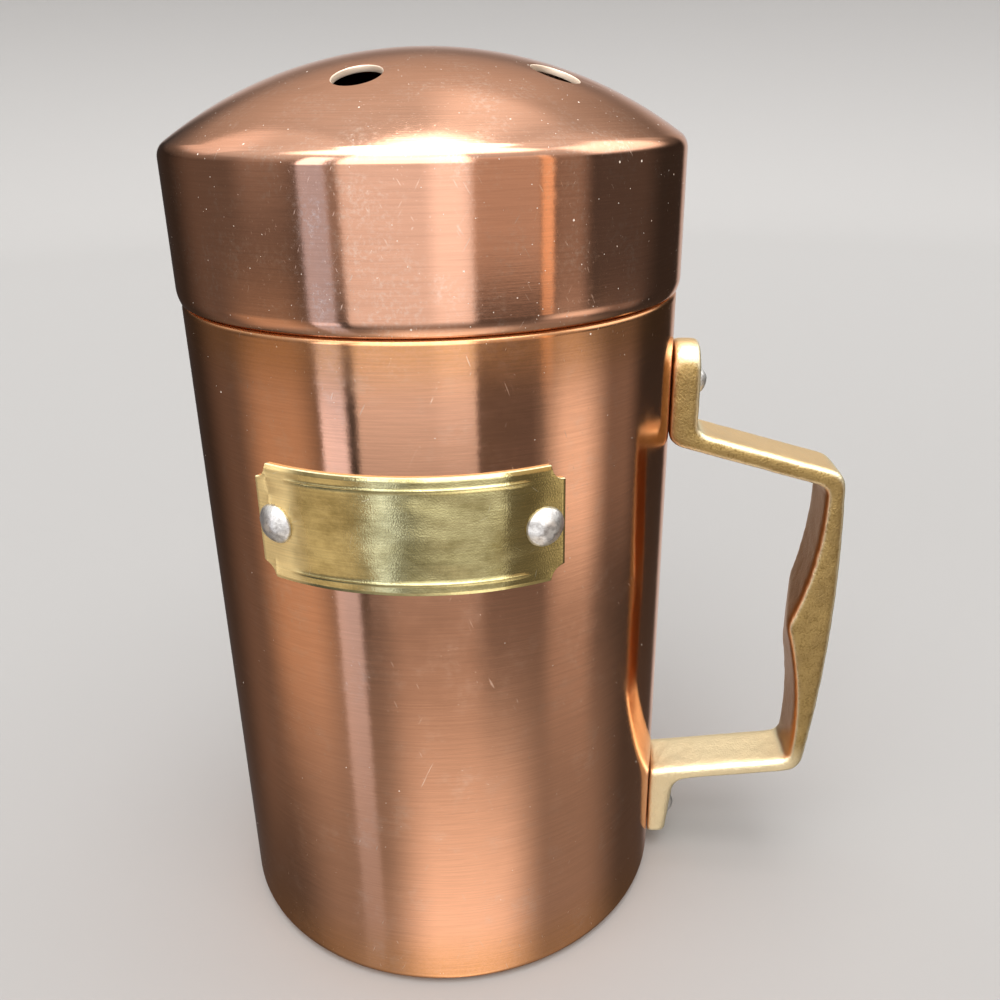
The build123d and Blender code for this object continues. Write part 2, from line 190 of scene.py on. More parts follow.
# Drawn copper sheet, brushed round the axis: reflections stay crisp sideways and smear up and down
def copperSheet(name, own):
    look = {**copperFinish, **own}
    material, tree, shader = newMaterial(name)
    coords = addNode(tree, "ShaderNodeTexCoord").outputs["Object"]
    axes = addNode(tree, "ShaderNodeSeparateXYZ", links={0: coords}).outputs

    # height less distance from the axis, so that the brush lines run in rings on the dome as well
    flat = addNode(tree, "ShaderNodeCombineXYZ", links={"X": axes["X"], "Y": axes["Y"]}).outputs[0]
    radius = addNode(tree, "ShaderNodeVectorMath", {"operation": "LENGTH"}, {0: flat}).outputs["Value"]
    climb = addNode(tree, "ShaderNodeMath", {"operation": "SUBTRACT"}, {0: axes["Z"], 1: radius}).outputs[0]
    along = addNode(
        tree, "ShaderNodeCombineXYZ", links={"X": axes["X"], "Y": axes["Y"], "Z": climb}
    ).outputs[0]
    # brush lines about 0.1 mm apart are drawn 0.25 mm apart, so that they show; coarser strokes join them
    brushing = []
    for share, detail, roughness in ((1.0, 3.0, 0.6), (look["strokeShare"], 4.0, 0.7)):
        scale = (1 / (look["streakLength"] * mm),) * 2 + (share / (look["streakGap"] * mm),)
        stretched = addNode(
            tree, "ShaderNodeVectorMath", {"operation": "MULTIPLY", 1: scale}, {0: along}
        ).outputs[0]
        brushing.append(addNode(
            tree, "ShaderNodeTexNoise",
            {"Scale": 1.0, "Detail": detail, "Roughness": roughness}, {"Vector": stretched},
        ).outputs[0])
    streaks, strokes = brushing
    haze, grain, smears = (
        addNode(
            tree, "ShaderNodeTexNoise",
            {"Scale": 1 / (look[size] * mm), "Detail": detail, "Roughness": roughness}, {"Vector": coords},
        ).outputs[0]
        for size, detail, roughness in (
            ("hazeSize", 5.0, 0.6), ("grainSize", 2.0, 0.5), ("smudgeSize", 8.0, 0.75),
        )
    )

    # tarnish gathers under the seam and along the base
    tarnish = None
    for low, high in look["tarnish"]:
        band = addNode(
            tree, "ShaderNodeMapRange",
            {"interpolation_type": "SMOOTHSTEP", "From Min": low * mm, "From Max": high * mm},
            {"Value": axes["Z"]},
        ).outputs[0]
        if tarnish is not None:
            band = addNode(
                tree, "ShaderNodeMath", {"operation": "MAXIMUM"}, {0: tarnish, 1: band}
            ).outputs[0]
        tarnish = band
    speckle = addNode(
        tree, "ShaderNodeMapRange",
        {
            "From Min": look["speckleSpan"][0], "From Max": look["speckleSpan"][1],
            "To Min": look["leastSpeckle"], "To Max": 1.0,
        },
        {"Value": grain},
    ).outputs[0]
    tarnish = addNode(tree, "ShaderNodeMath", {"operation": "MULTIPLY"}, {0: tarnish, 1: speckle}).outputs[0]
    tarnish = addNode(
        tree, "ShaderNodeMath", {"operation": "MULTIPLY", 1: look["tarnishDepth"]}, {0: tarnish}
    ).outputs[0]

    # dust: one point in each cell, shown where the surface passes close to it
    dust = None
    for gap, size in look["dust"]:
        cells = addNode(tree, "ShaderNodeTexVoronoi", {"Scale": 1 / (gap * mm)}, {"Vector": coords})
        specks = addNode(
            tree, "ShaderNodeMapRange",
            {"From Min": size / gap, "From Max": look["speckCore"] * size / gap},
            {"Value": cells.outputs["Distance"]},
        ).outputs[0]
        if dust is not None:
            specks = addNode(
                tree, "ShaderNodeMath", {"operation": "MAXIMUM"}, {0: dust, 1: specks}
            ).outputs[0]
        dust = specks

    # smudges from handling dull the polish, and leave a pale film in patches
    smudges = addNode(
        tree, "ShaderNodeMapRange",
        {"From Min": look["smudgeSpan"][0], "From Max": look["smudgeSpan"][1]}, {"Value": smears},
    ).outputs[0]
    patches = addNode(
        tree, "ShaderNodeMapRange",
        {"From Min": look["filmSpan"][0], "From Max": look["filmSpan"][1], "To Max": look["film"]},
        {"Value": haze},
    ).outputs[0]
    film = addNode(tree, "ShaderNodeMath", {"operation": "MULTIPLY"}, {0: smudges, 1: patches}).outputs[0]
    scratches = hairlines(tree, coords, look["scratches"], mm)
    faint = addNode(
        tree, "ShaderNodeMath", {"operation": "MULTIPLY", 1: look["scratchTint"]}, {0: scratches}
    ).outputs[0]

    colour = addNode(
        tree, "ShaderNodeMix",
        {"data_type": "RGBA", 6: linearColour(look["colour"]), 7: linearColour(look["tarnishColour"])},
        {0: tarnish},
    ).outputs[2]
    shade = addNode(
        tree, "ShaderNodeMapRange",
        {"From Min": noiseSpan[0], "From Max": noiseSpan[1], "To Min": look["streakShade"], "To Max": 1.0},
        {"Value": streaks},
    ).outputs[0]
    colour = addNode(
        tree, "ShaderNodeMix", {"data_type": "RGBA", "blend_type": "MULTIPLY", 0: 1.0}, {6: colour, 7: shade}
    ).outputs[2]
    for mask in (film, faint, dust):
        colour = addNode(
            tree, "ShaderNodeMix",
            {"data_type": "RGBA", 7: linearColour(look["dustColour"])}, {0: mask, 6: colour},
        ).outputs[2]
    wire(tree, colour, shader, "Base Color")
    bare = addNode(tree, "ShaderNodeMath", {"operation": "SUBTRACT", 0: 1.0}, {1: dust}).outputs[0]
    wire(tree, bare, shader, "Metallic")
    shader.inputs["Specular Tint"].default_value = linearColour(look["edgeTint"])

    rough = addNode(
        tree, "ShaderNodeMapRange",
        {
            "From Min": noiseSpan[0], "From Max": noiseSpan[1],
            "To Min": look["roughness"][0], "To Max": look["roughness"][1],
        },
        {"Value": haze},
    ).outputs[0]
    dulling = (
        ("tarnishRoughness", tarnish), ("scratchRoughness", scratches),
        ("dustRoughness", dust), ("smudge", smudges),
    )
    for share, mask in dulling:
        rough = addNode(
            tree, "ShaderNodeMath", {"operation": "MULTIPLY_ADD", 1: look[share]}, {0: mask, 2: rough}
        ).outputs[0]
    wire(tree, rough, shader, "Roughness")

    # the strokes turn the surface a little to either side, which frays the upright reflections
    swing = addNode(
        tree, "ShaderNodeMapRange",
        {"clamp": False, "To Min": -0.5 * look["waver"], "To Max": 0.5 * look["waver"]}, {"Value": strokes},
    ).outputs[0]
    brushSurface(tree, shader, look, swing, streaks, grain)
    return material


# Can body: one drawn cup with a stepped-in neck
canBody = {
    "sheet": 0.9,
    "baseBend": 2.0,
    "shoulderBend": 0.85,
    "rimShare": 0.4,
    "bendSteps": 8,
    "shoulder": 107.5,
    "neckStep": 0.9,
    "steps": 240,
    "look": {
        "colour": "#e6ad8b", "roughness": (0.09, 0.13), "anisotropy": 0.85, "waver": 0.02,
        "tarnish": [(98.0, 107.0), (14.0, 1.0)], "tarnishDepth": 0.75,
        "hazeSize": 9.0, "smudgeSize": 3.0, "smudge": 0.05, "film": 0.25,
        "dust": [(6.0, 0.16), (2.8, 0.07)],
        "scratches": {
            "length": 5.0, "gap": 0.22, "rarity": 0.84, "turns": [(0, 70, 10), (20, 50, 60), (0, 115, 0)],
        },
    },
}


def makeCanBody(spec):
    low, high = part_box("can_body")
    radius, top = high.x, high.z
    sheet = spec["sheet"] * mm
    neck = radius - spec["neckStep"] * mm
    shoulder = spec["shoulder"] * mm
    # half section: up the outside to the mouth, then down the inside
    section = [
        (0, low.z), (radius, low.z), (radius, shoulder), (neck, shoulder), (neck, top),
        (neck - sheet, top), (neck - sheet, shoulder - sheet), (radius - sheet, shoulder - sheet),
        (radius - sheet, low.z + sheet), (0, low.z + sheet),
    ]
    bm = bmesh.new()
    points = [bm.verts.new((x, 0, z)) for x, z in section]
    for first, second in zip(points, points[1:]):
        bm.edges.new((first, second))
    rounds = {
        1: spec["baseBend"], 8: spec["baseBend"] - spec["sheet"], 2: spec["shoulderBend"],
        4: spec["rimShare"] * spec["sheet"], 5: spec["rimShare"] * spec["sheet"],
    }
    for index, bend in rounds.items():
        bmesh.ops.bevel(
            bm, geom=[points[index]], offset=bend * mm, segments=spec["bendSteps"], profile=0.5,
            affect="VERTICES", material=-1,
        )
    lathe(bm, spec["steps"])
    copper = copperSheet("brushedCopperBody", spec["look"])
    piece = finishPiece(bm, "canBody", "can", copper, ["can_body"])
    piece.modifiers.new("evenNormals", "WEIGHTED_NORMAL")


# Cap: skirt, bend and dome in one sheet, with a ring of punched holes
shakerCap = {
    "sheet": 0.9,
    "tuckBend": 4.7,
    "tuckAngle": 25.0,
    "tuckSteps": 6,
    "cornerBend": 2.6,
    "cornerSteps": 10,
    "domeRise": 12.7,
    "domeSteps": 32,
    "steps": 240,
    "holeCount": 5,
    "holeDiameter": 6.6,
    "holeRing": 22.7,
    "firstHole": -14.0,
    "patch": 4.7,
    "edgeRound": 0.15,
    "edgeSegments": 3,
    "edgeAngle": 50,
    "look": {
        "colour": "#e2ac8e", "roughness": (0.08, 0.12), "anisotropy": 0.4, "waver": 0.012,
        "tarnish": [(109.0, 107.0)], "tarnishDepth": 0.6,
        "hazeSize": 7.0, "smudgeSize": 0.7, "smudge": 0.07, "film": 0.6,
        "dust": [(3.6, 0.17), (1.5, 0.08)],
        "scratches": {
            "length": 4.0, "gap": 0.22, "rarity": 0.8, "turns": [(0, 60, 20), (30, 40, 80), (0, 120, 10)],
        },
    },
    # the cut edges' pale colour is a painted highlight
    "rimHighlightLook": {
        "colour": "#f6e2cc", "metallic": 0.8, "roughness": 0.55, "grainSize": 0.3, "grainDepth": 0.02,
    },
}


# Punched edge: raw torn metal that scatters light more than it mirrors it, painted paler than the polished
# faces as a painted highlight along the cut
def punchedEdgeHighlight(name, look):
    material, tree, shader = newMaterial(name)
    coords = addNode(tree, "ShaderNodeTexCoord").outputs["Object"]
    grain = addNode(
        tree, "ShaderNodeTexNoise", {"Scale": 1 / (look["grainSize"] * mm), "Detail": 2.0}, {"Vector": coords}
    ).outputs[0]
    torn = addNode(
        tree, "ShaderNodeBump", {"Strength": 1.0, "Distance": look["grainDepth"] * mm}, {"Height": grain}
    ).outputs[0]
    wire(tree, torn, shader, "Normal")
    shader.inputs["Base Color"].default_value = linearColour(look["colour"])
    shader.inputs["Metallic"].default_value = look["metallic"]
    shader.inputs["Roughness"].default_value = look["roughness"]
    return material


def makeShakerCap(spec):
    low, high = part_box("shaker_cap")
    radius, bottom, top = high.x, low.z, high.z
    rise, bend, tuck = (spec[key] * mm for key in ("domeRise", "cornerBend", "tuckBend"))
    domeRadius = (radius ** 2 + rise ** 2) / (2 * rise)
    domeCentre = top - domeRadius
    bendX = radius - bend
    bendZ = domeCentre + math.sqrt((domeRadius - bend) ** 2 - bendX ** 2)
    bendAngle = math.degrees(math.atan2(bendZ - domeCentre, bendX))
    tuckAngle = math.radians(spec["tuckAngle"])
    # half section of the outer face, from the tucked edge up to the crown
    bm = bmesh.new()
    tuckCentre = Vector((radius - tuck, 0, bottom + tuck * math.sin(tuckAngle)))
    edge = bm.verts.new(tuckCentre + tuck * Vector((math.cos(tuckAngle), 0, -math.sin(tuckAngle))))
    edge = arcFrom(bm, edge, tuckCentre, sectionAxis, spec["tuckAngle"], spec["tuckSteps"])
    edge = runTo(bm, edge, (radius, 0, bendZ))
    edge = arcFrom(bm, edge, (bendX, 0, bendZ), sectionAxis, bendAngle, spec["cornerSteps"])
    arcFrom(bm, edge, (0, 0, domeCentre), sectionAxis, 90 - bendAngle, spec["domeSteps"])
    lathe(bm, spec["steps"])

    # each hole: clear a patch of the dome, then join its border to a round rim
    ring = spec["holeRing"] * mm
    hole = spec["holeDiameter"] / 2 * mm
    for number in range(spec["holeCount"]):
        azimuth = math.radians(spec["firstHole"]) + turn * number / spec["holeCount"]
        outward = Vector((math.sin(azimuth), -math.cos(azimuth), 0))
        sideways = Vector((math.cos(azimuth), math.sin(azimuth), 0))
        patch = []
        for face in bm.faces:
            middle = face.calc_center_median()
            swing = math.atan2(middle @ sideways, middle @ outward) * ring
            reach = middle.xy.length - ring
            if middle.z > bendZ and max(abs(swing), abs(reach)) < spec["patch"] * mm:
                patch.append(face)
        kept = {edge for face in patch for edge in face.edges}
        bmesh.ops.delete(bm, geom=patch, context="FACES")
        border = [edge for edge in kept if edge.is_valid and edge.is_boundary]
        axes = Matrix((sideways, -outward, (0, 0, 1))).transposed().to_4x4()
        place = Matrix.Translation(outward * ring) @ axes
        rim = bmesh.ops.create_circle(bm, segments=len(border), radius=hole, matrix=place)["verts"]
        for vert in rim:
            vert.co.z = domeCentre + math.sqrt(domeRadius ** 2 - vert.co.xy.length_squared)
        rimEdges = {edge for vert in rim for edge in vert.link_edges}
        bmesh.ops.bridge_loops(bm, edges=border + list(rimEdges))
    bmesh.ops.recalc_face_normals(bm, faces=bm.faces)

    copper = copperSheet("brushedCopperCap", spec["look"])
    piece = finishPiece(bm, "shakerCap", "cap", copper, ["shaker_cap"])
    # the hole walls and the skirt's cut edge take a pale painted highlight
    piece.data.materials.append(punchedEdgeHighlight("punchedCopperEdgeHighlight", spec["rimHighlightLook"]))
    wall = piece.modifiers.new("sheet", "SOLIDIFY")
    wall.thickness = spec["sheet"] * mm
    wall.offset = -1
    wall.use_even_offset = True
    wall.material_offset_rim = 1
    roundEdges(piece, "rolledEdges", spec["edgeRound"], spec["edgeSegments"], spec["edgeAngle"])
    piece.modifiers.new("evenNormals", "WEIGHTED_NORMAL")


makeCanBody(canBody)
makeShakerCap(shakerCap)
print("copper can and cap done")


# Cast brass: pebbled by the sand on its flat sides, rubbed smooth on edges and upper faces, which are also
# painted bright as a painted highlight
def castBrass(name, look):
    material, tree, shader = newMaterial(name)
    place = addNode(tree, "ShaderNodeTexCoord").outputs
    coords = place["Object"]
    axes = addNode(tree, "ShaderNodeSeparateXYZ", links={0: coords}).outputs
    facing = addNode(tree, "ShaderNodeSeparateXYZ", links={0: place["Normal"]}).outputs
    sideways, upright = (
        addNode(tree, "ShaderNodeMath", {"operation": "ABSOLUTE"}, {0: facing[axis]}).outputs[0]
        for axis in "YZ"
    )
    # flat sides, flat upper and lower faces, the grip's hollow side, which takes painted shade, and the lower
    # lug, which takes painted light
    side, level, hollow, lug = (
        addNode(
            tree, "ShaderNodeMapRange",
            {"interpolation_type": "SMOOTHSTEP", "From Min": start, "From Max": end}, {"Value": value},
        ).outputs[0]
        for value, (start, end) in (
            (sideways, look["rubbed"]), (upright, look["rubbed"]), (facing["X"], look["hollow"]),
            (axes["Z"], [height * mm for height in look["lug"]]),
        )
    )
    pebbles, sand, stain = (
        addNode(
            tree, "ShaderNodeTexNoise",
            {"Scale": 1 / (look[size] * mm), "Detail": detail, "Roughness": roughness}, {"Vector": coords},
        ).outputs[0]
        for size, detail, roughness in (
            ("pebbleSize", 2.0, 0.5), ("sandSize", 4.0, 0.65), ("stainSize", 4.0, 0.6),
        )
    )

    # the low spots keep their dark skin, the high ones are rubbed bare
    heights = addNode(
        tree, "ShaderNodeMath", {"operation": "MULTIPLY_ADD", 1: look["sandShare"]}, {0: sand, 2: pebbles}
    ).outputs[0]
    pits, patches = (
        addNode(
            tree, "ShaderNodeMapRange", {"From Min": start, "From Max": end}, {"Value": value}
        ).outputs[0]
        for value, (start, end) in ((heights, look["pitSpan"]), (stain, look["stainSpan"]))
    )
    darkPits, darkPatches = (
        addNode(tree, "ShaderNodeMath", {"operation": "MULTIPLY"}, {0: mask, 1: side}).outputs[0]
        for mask in (pits, patches)
    )
    # the lower lug is painted in the bright edge colour: painted light on it
    lugPaintedLight = addNode(tree, "ShaderNodeMath", {"operation": "MULTIPLY", 1: look["lugLightShare"]}, {0: lug}).outputs[0]
    # edges and flat faces take a near-white colour that is partly rubbed brass and partly a painted highlight
    colour = addNode(
        tree, "ShaderNodeMix",
        {"data_type": "RGBA", 6: linearColour(look["rubbedHighlightColour"]), 7: linearColour(look["levelHighlightColour"])},
        {0: level},
    ).outputs[2]
    # the hollow side towards the can is painted darker and redder: painted shade
    layers = (
        (side, "castColour"), (darkPatches, "stainColour"), (darkPits, "pitColour"), (hollow, "hollowShadeColour"),
        (lugPaintedLight, "rubbedHighlightColour"),
    )
    for mask, tone in layers:
        colour = addNode(
            tree, "ShaderNodeMix",
            {"data_type": "RGBA", 7: linearColour(look[tone])}, {0: mask, 6: colour},
        ).outputs[2]
    wire(tree, colour, shader, "Base Color")
    shader.inputs["Metallic"].default_value = 1.0
    rough = addNode(
        tree, "ShaderNodeMapRange",
        {"To Min": look["roughness"][0], "To Max": look["roughness"][1]}, {"Value": side},
    ).outputs[0]
    rough = addNode(
        tree, "ShaderNodeMath", {"operation": "MULTIPLY_ADD", 1: look["stainRoughness"]}, {0: stain, 2: rough}
    ).outputs[0]
    wire(tree, rough, shader, "Roughness")

    depth = addNode(
        tree, "ShaderNodeMapRange", {"To Min": look["rubbedShare"], "To Max": 1.0}, {"Value": side}
    ).outputs[0]
    cast = addNode(
        tree, "ShaderNodeBump", {"Distance": look["pebbleDepth"] * mm}, {"Height": heights, "Strength": depth}
    ).outputs[0]
    wire(tree, cast, shader, "Normal")
    return material


# Handle: the casting's own surface, softened and a little uneven all over
castHandle = {
    "voxel": 0.35,
    "softening": 30,
    "softFactor": 0.5,
    "waveSize": 2.2,
    "waveDepth": 0.12,
    "look": {
        "rubbedHighlightColour": "#fff0c8", "levelHighlightColour": "#f8d49c", "castColour": "#a88e5a",
        "stainColour": "#927a4e", "pitColour": "#8a7244", "hollowShadeColour": "#b8854f",
        "rubbed": (0.72, 1.0), "hollow": (-0.5, -0.9), "lug": (26.0, 19.0), "lugLightShare": 0.6,
        "roughness": (0.32, 0.36), "stainRoughness": 0.15, "rubbedShare": 0.6,
        "pebbleSize": 1.6, "pebbleDepth": 0.06, "sandSize": 0.4, "sandShare": 2.0, "pitSpan": (1.5, 1.15),
        "stainSize": 6.0, "stainSpan": (0.35, 0.7),
    },
}


def makeHandle(spec):
    bm = bmesh.new()
    bm.from_mesh(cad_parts["handle"].data)
    bmesh.ops.remove_doubles(bm, verts=bm.verts, dist=weldGap)
    brass = castBrass("sandCastBrass", spec["look"])
    piece = finishPiece(bm, "castHandle", "can", brass, ["handle"])
    remesh = piece.modifiers.new("casting", "REMESH")
    remesh.mode = "VOXEL"
    remesh.voxel_size = spec["voxel"] * mm
    remesh.use_smooth_shade = True
    soften = piece.modifiers.new("softEdges", "SMOOTH")
    soften.factor = spec["softFactor"]
    soften.iterations = spec["softening"]
    waves = bpy.data.textures.new("castWaves", "CLOUDS")
    waves.noise_scale = spec["waveSize"] * mm
    uneven = piece.modifiers.new("uneven", "DISPLACE")
    uneven.texture = waves
    uneven.texture_coords = "LOCAL"
    uneven.strength = -spec["waveDepth"] * mm
    uneven.mid_level = 0.0


# Stamped sheet brass: brushed along its length, greenish yellow, with stained patches, a painted highlight at
# one end and painted shade at the other
def sheetBrass(name, look):
    material, tree, shader = newMaterial(name)
    coords = addNode(tree, "ShaderNodeTexCoord").outputs["UV"]
    brushing = []
    for scale, detail, roughness in (
        ((1 / look["streakLength"], 1 / look["streakGap"], 1.0), 3.0, 0.5),
        ((1 / look["patchSize"], look["patchStretch"] / look["patchSize"], 1.0), 8.0, 0.7),
    ):
        stretched = addNode(tree, "ShaderNodeMapping", {"Scale": scale}, {"Vector": coords}).outputs[0]
        brushing.append(addNode(
            tree, "ShaderNodeTexNoise",
            {"Scale": 1.0, "Detail": detail, "Roughness": roughness}, {"Vector": stretched},
        ).outputs[0])
    streaks, patches = brushing
    grain = addNode(
        tree, "ShaderNodeTexNoise", {"Scale": 1 / look["grainSize"], "Detail": 2.0}, {"Vector": coords}
    ).outputs[0]
    scratches = hairlines(tree, coords, look["scratches"], 1.0)
    faint = addNode(
        tree, "ShaderNodeMath", {"operation": "MULTIPLY", 1: look["scratchTint"]}, {0: scratches}
    ).outputs[0]
    stained = addNode(
        tree, "ShaderNodeMapRange",
        {"From Min": look["stainSpan"][0], "From Max": look["stainSpan"][1]}, {"Value": patches},
    ).outputs[0]
    # the left end is painted paler as a painted highlight and made duller than the field, the right one
    # painted darker as painted shade, with a wandering border
    across = addNode(tree, "ShaderNodeSeparateXYZ", links={0: coords}).outputs["X"]
    wander = addNode(
        tree, "ShaderNodeMath", {"operation": "MULTIPLY_ADD", 1: look["wander"]}, {0: patches, 2: across}
    ).outputs[0]
    pale, dark = (
        addNode(
            tree, "ShaderNodeMapRange",
            {
                "interpolation_type": "SMOOTHSTEP",
                "From Min": start + look["wander"] / 2, "From Max": end + look["wander"] / 2,
            },
            {"Value": wander},
        ).outputs[0]
        for start, end in (look["paleEnd"], look["darkEnd"])
    )

    colour = addNode(
        tree, "ShaderNodeMix",
        {"data_type": "RGBA", 6: linearColour(look["colour"]), 7: linearColour(look["stainColour"])},
        {0: stained},
    ).outputs[2]
    # pale end: painted highlight; dark end: painted shade
    for mask, tone in ((pale, "paleHighlightColour"), (dark, "darkShadeColour")):
        colour = addNode(
            tree, "ShaderNodeMix",
            {"data_type": "RGBA", 7: linearColour(look[tone])}, {0: mask, 6: colour},
        ).outputs[2]
    shade = addNode(
        tree, "ShaderNodeMapRange",
        {"From Min": noiseSpan[0], "From Max": noiseSpan[1], "To Min": look["streakShade"], "To Max": 1.0},
        {"Value": streaks},
    ).outputs[0]
    colour = addNode(
        tree, "ShaderNodeMix", {"data_type": "RGBA", "blend_type": "MULTIPLY", 0: 1.0}, {6: colour, 7: shade}
    ).outputs[2]
    colour = addNode(
        tree, "ShaderNodeMix",
        {"data_type": "RGBA", 7: linearColour(look["scratchColour"])}, {0: faint, 6: colour},
    ).outputs[2]
    wire(tree, colour, shader, "Base Color")
    shader.inputs["Metallic"].default_value = 1.0
    rough = addNode(
        tree, "ShaderNodeMapRange",
        {
            "From Min": noiseSpan[0], "From Max": noiseSpan[1],
            "To Min": look["roughness"][0], "To Max": look["roughness"][1],
        },
        {"Value": patches},
    ).outputs[0]
    rough = addNode(
        tree, "ShaderNodeMath", {"operation": "MULTIPLY_ADD", 1: look["paleRoughness"]}, {0: pale, 2: rough}
    ).outputs[0]
    wire(tree, rough, shader, "Roughness")

    # between its ends the sheet isn't quite true to the can, which moves the reflections along it
    held = addNode(tree, "ShaderNodeMath", {"operation": "MAXIMUM"}, {0: pale, 1: dark}).outputs[0]
    lean = addNode(
        tree, "ShaderNodeMapRange", {"To Min": math.radians(look["lean"]), "To Max": 0.0}, {"Value": held}
    ).outputs[0]
    brushSurface(tree, shader, look, lean, streaks, grain)
    return material


# Nameplate: a bare bent plate with scooped corners and a raised rule along each long edge
nameplate = {
    "width": 45.0,
    "height": 17.0,
    "sheet": 0.6,
    "seatGap": 0.03,
    "notch": 2.2,
    "notchSteps": 10,
    "ruleInset": 1.7,
    "ruleHalfWidth": 0.2,
    "ruleHeight": 0.08,
    "ruleEnd": 5.9,
    "ruleCuts": (-1, -0.8, -0.4, 0, 0.4, 0.8, 1),
    "cell": 0.6,
    "snap": 0.0001,
    "dentSize": 4.0,
    "dentStretch": (0.6, 1.5),
    "dentDepth": 0.08,
    "dentLevel": 0.6,
    "droop": 0.16,
    "droopWidth": 0.5,
    "droopCuts": (0.35, 0.7, 1),
    "edgeRound": 0.12,
    "edgeSegments": 2,
    "edgeAngle": 60,
    # the cut edges' pale colour is a painted highlight, standing in for the bright line along them
    "edgeHighlightLook": {
        "colour": "#f4f2c4", "metallic": 0.1, "roughness": 0.6, "grainSize": 0.3, "grainDepth": 0.01,
    },
    "look": {
        "colour": "#f2e6a8", "stainColour": "#b0a26a", "paleHighlightColour": "#ffe6a8", "darkShadeColour": "#cdb878",
        "scratchColour": "#f4ecc8", "scratchTint": 0.6,
        "roughness": (0.13, 0.20), "paleRoughness": 0.42, "anisotropy": 0.4, "lean": -10.0,
        "paleEnd": (-13.0, -17.5), "darkEnd": (11.0, 17.0), "wander": 6.0,
        "streakLength": 14.0, "streakGap": 0.3, "streakDepth": 0.006, "streakShade": 0.82,
        "patchSize": 9.0, "patchStretch": 1.6, "stainSpan": (0.42, 0.68),
        "grainSize": 0.25, "grainDepth": 0.02,
        "scratches": {
            "length": 4.0, "gap": 0.22, "rarity": 0.8, "turns": [(0, 0, 25), (0, 0, -40), (0, 0, 75)],
        },
    },
}


def makeNameplate(spec):
    low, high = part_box("nameplate")
    centre = (low.z + high.z) / 2 / mm
    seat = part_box("can_body")[1].x / mm + spec["seatGap"]
    surface = seat + spec["sheet"]
    halfWidth, halfHeight = spec["width"] / 2, spec["height"] / 2
    notch = spec["notch"]
    # flat outline in millimetres, one scooped corner after another
    bm = bmesh.new()
    corners = (
        (halfWidth, halfHeight, 0, -notch), (-halfWidth, halfHeight, notch, 0),
        (-halfWidth, -halfHeight, 0, notch), (halfWidth, -halfHeight, -notch, 0),
    )
    last, first = None, None
    for x, y, startX, startY in corners:
        begin = (x + startX, y + startY, 0)
        last = runTo(bm, last, begin) if last else bm.verts.new(begin)
        first = first or last
        last = arcFrom(bm, last, (x, y, 0), (0, 0, -1), 90, spec["notchSteps"])
    bm.edges.new((last, first))
    bmesh.ops.contextual_create(bm, geom=bm.edges[:])

    # cuts for the bend, and closer ones across the rules and along the edges
    columns = round(spec["width"] / spec["cell"])
    rows = round(spec["height"] / spec["cell"])
    cuts = [((-halfWidth + spec["width"] * i / columns, 0, 0), (1, 0, 0)) for i in range(1, columns)]
    cuts += [((0, -halfHeight + spec["height"] * i / rows, 0), (0, 1, 0)) for i in range(1, rows)]
    ruleLine = halfHeight - spec["ruleInset"]
    for share in spec["ruleCuts"]:
        for side in (-1, 1):
            cuts.append(((0, side * ruleLine + share * spec["ruleHalfWidth"], 0), (0, 1, 0)))
    for share in spec["droopCuts"]:
        for side in (-1, 1):
            cuts.append(((0, side * (halfHeight - share * spec["droopWidth"]), 0), (0, 1, 0)))
            cuts.append(((side * (halfWidth - share * spec["droopWidth"]), 0, 0), (1, 0, 0)))
    for point, across in cuts:
        everything = bm.verts[:] + bm.edges[:] + bm.faces[:]
        bmesh.ops.bisect_plane(bm, geom=everything, plane_co=point, plane_no=across, dist=spec["snap"])
    flat = bm.loops.layers.uv.new("flat")
    for face in bm.faces:
        for loop in face.loops:
            loop[flat].uv = loop.vert.co.xy

    # the sheet's front takes the rules and a slight unevenness, then both sides bend round the can
    grown = bmesh.ops.extrude_face_region(bm, geom=bm.faces[:], use_keep_orig=True)["geom"]
    front = {item for item in grown if isinstance(item, bmesh.types.BMVert)}
    ruleEnd = halfWidth - spec["ruleEnd"]
    stretchX, stretchY = spec["dentStretch"]
    for vert in bm.verts:
        across, along = vert.co.x, vert.co.y
        angle = across / surface
        reach = seat
        if vert in front:
            offset = max(0.0, 1 - abs(abs(along) - ruleLine) / spec["ruleHalfWidth"])
            fade = min(1.0, max(0.0, (ruleEnd - abs(across)) / spec["ruleHalfWidth"]))
            rule = spec["ruleHeight"] * min(1.0, 2 * offset) * fade
            margin = max(0.0, min(halfWidth - abs(across), halfHeight - abs(along)))
            inner = min(1.0, margin / notch)
            wave = noise.noise(Vector((stretchX * across, stretchY * along, 0)) / spec["dentSize"])
            dent = spec["dentDepth"] * inner * (wave - spec["dentLevel"])
            droop = spec["droop"] * max(0.0, 1 - margin / spec["droopWidth"])
            reach = surface + rule + min(0.0, dent) - droop
        vert.co = (reach * mm * math.sin(angle), -reach * mm * math.cos(angle), (centre + along) * mm)
    # the sheet's cut edges take the second material, whose pale colour is a painted highlight
    for face in bm.faces:
        face.material_index = int(0 < sum(vert in front for vert in face.verts) < len(face.verts))
    bmesh.ops.recalc_face_normals(bm, faces=bm.faces)
    brass = sheetBrass("brushedSheetBrass", spec["look"])
    piece = finishPiece(bm, "barePlate", "can", brass, ["nameplate"])
    piece.data.materials.append(punchedEdgeHighlight("punchedBrassEdgeHighlight", spec["edgeHighlightLook"]))
    roundEdges(piece, "stampedEdges", spec["edgeRound"], spec["edgeSegments"], spec["edgeAngle"])


